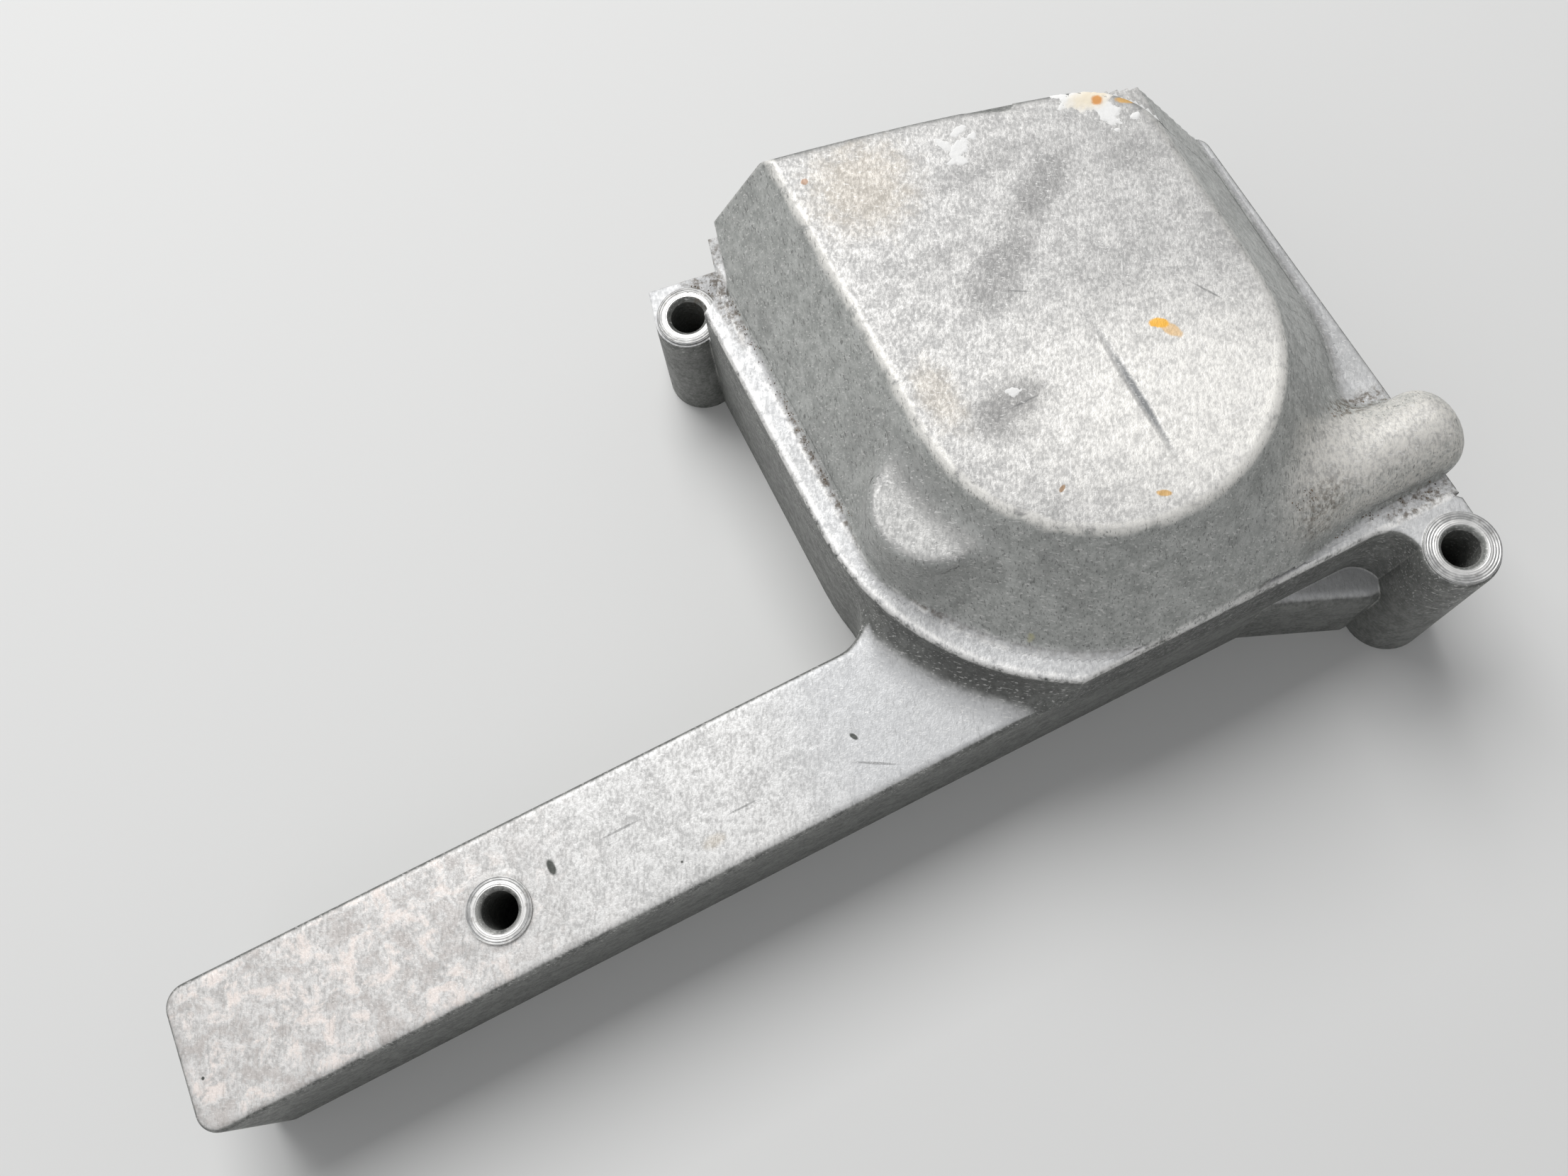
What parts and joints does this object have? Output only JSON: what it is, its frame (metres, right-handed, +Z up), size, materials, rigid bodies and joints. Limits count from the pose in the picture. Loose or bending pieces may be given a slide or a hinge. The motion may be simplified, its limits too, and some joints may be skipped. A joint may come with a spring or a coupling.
{
  "type": "oil pump cover",
  "caption": "Cast aluminium motorbike oil pump cover with a raised U-shaped dome, a long channel arm and screw bosses.",
  "frame": {"origin": "axis of the arm's screw hole, at the mating face", "axes": "+Z up out of the mating face, +X along the arm towards the body, +Y towards the far wall"},
  "size_m": [0.2386, 0.1214, 0.06],
  "materials": {
    "cast_aluminium": "die-cast, matt and worn"
  },
  "bodies": {
    "root": {"pump_cover": "cast_aluminium"}
  },
  "joints": []
}
